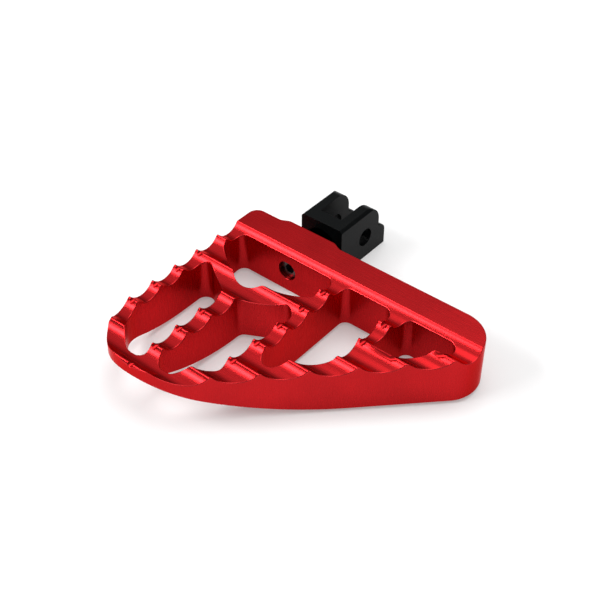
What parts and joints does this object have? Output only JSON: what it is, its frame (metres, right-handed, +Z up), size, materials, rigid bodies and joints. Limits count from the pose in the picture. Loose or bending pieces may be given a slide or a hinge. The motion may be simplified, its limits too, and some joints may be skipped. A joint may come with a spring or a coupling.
{
  "type": "mini floorboard foot peg",
  "caption": "Grooved three-cornered foot board with five through pockets, a curved underside and a slotted clevis mount bolted to its back.",
  "frame": {"origin": "middle of the clevis pin bore, between the two ears", "axes": "+X along the pin, +Y towards the bike, away from the board, +Z up"},
  "size_m": [0.1473, 0.1693, 0.0286],
  "materials": {
    "board": "satin red anodised",
    "clevis": "satin black anodised",
    "bolt": "black oxide",
    "washer": "plain"
  },
  "bodies": {
    "mount": {"clevis": "clevis", "mount_bolt": "bolt", "lock_washer": "washer"},
    "foot_board": {"board": "board"}
  },
  "joints": [
    {"name": "mount_swivel", "type": "hinge", "parent": "mount", "child": "foot_board", "pos_m": [0, -0.0275, 0.0012], "axis": [0, 1, 0], "continuous": true}
  ]
}
